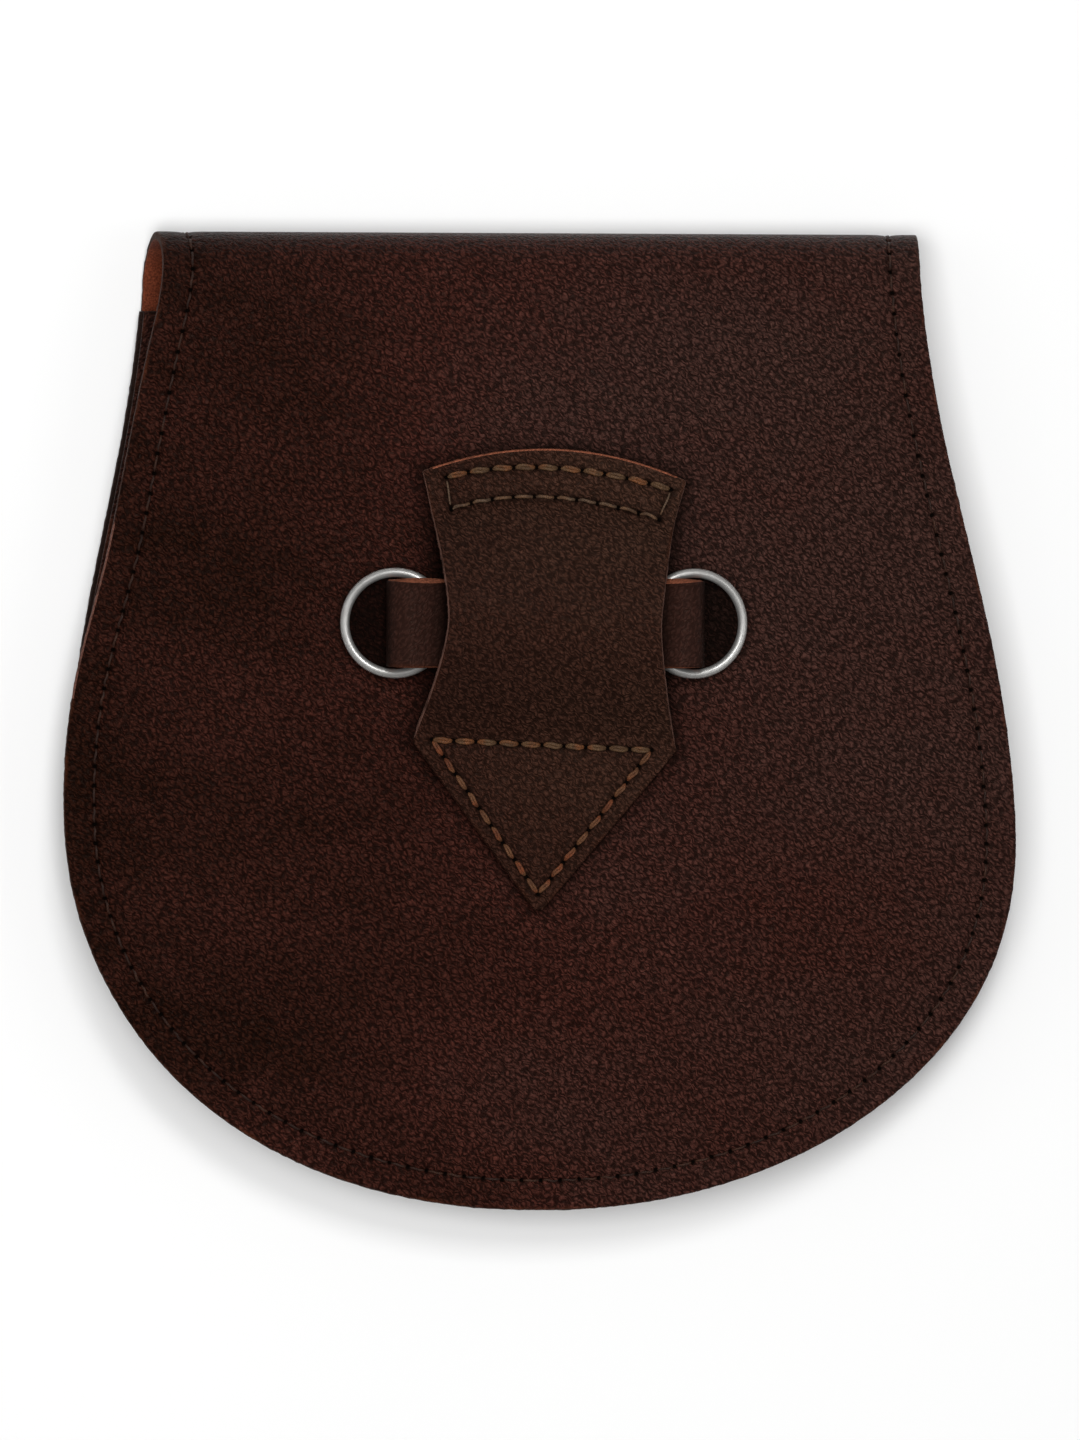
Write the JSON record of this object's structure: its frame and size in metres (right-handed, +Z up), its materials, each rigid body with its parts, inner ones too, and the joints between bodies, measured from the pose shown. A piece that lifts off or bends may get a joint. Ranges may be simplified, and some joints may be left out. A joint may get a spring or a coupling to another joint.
{
  "type": "sporran pouch",
  "caption": "Round-bottomed leather day sporran with a fold-over flap, gusseted pocket, sewn belt loop on the back and wire rings on a strap for its chain.",
  "frame": {"origin": "on the surface that the pouch lies on, under the middle of its outline", "axes": "+Z up out of the back, +Y towards the top fold, +X to the right as seen on the back"},
  "size_m": [0.2028, 0.208, 0.0436],
  "materials": {
    "panel_leather": "pebbled grain, satin, dark chocolate brown, rust-coloured flesh side",
    "gusset_leather": "pebbled grain, satin, dark chocolate brown",
    "loop_leather": "fine pebbled grain, satin, dark brown, rust-coloured cut edges",
    "ring_steel": "nickel-plated wire, bright"
  },
  "bodies": {
    "pouch": {"back_and_flap": "panel_leather", "front_panel": "panel_leather", "gusset": "gusset_leather", "belt_loop": "loop_leather", "ring_strap": "loop_leather", "flap_snap": "ring_steel"},
    "left_ring": {"ring_left": "ring_steel"},
    "right_ring": {"ring_right": "ring_steel"}
  },
  "joints": [
    {"name": "ring_left_swing", "type": "hinge", "parent": "pouch", "child": "left_ring", "pos_m": [-0.0216, 0.021, 0.03185], "axis": [0, 1, 0], "range_deg": [0, 36]},
    {"name": "ring_right_swing", "type": "hinge", "parent": "pouch", "child": "right_ring", "pos_m": [0.0232, 0.021, 0.0318], "axis": [0, -1, 0], "range_deg": [0, 36]}
  ]
}
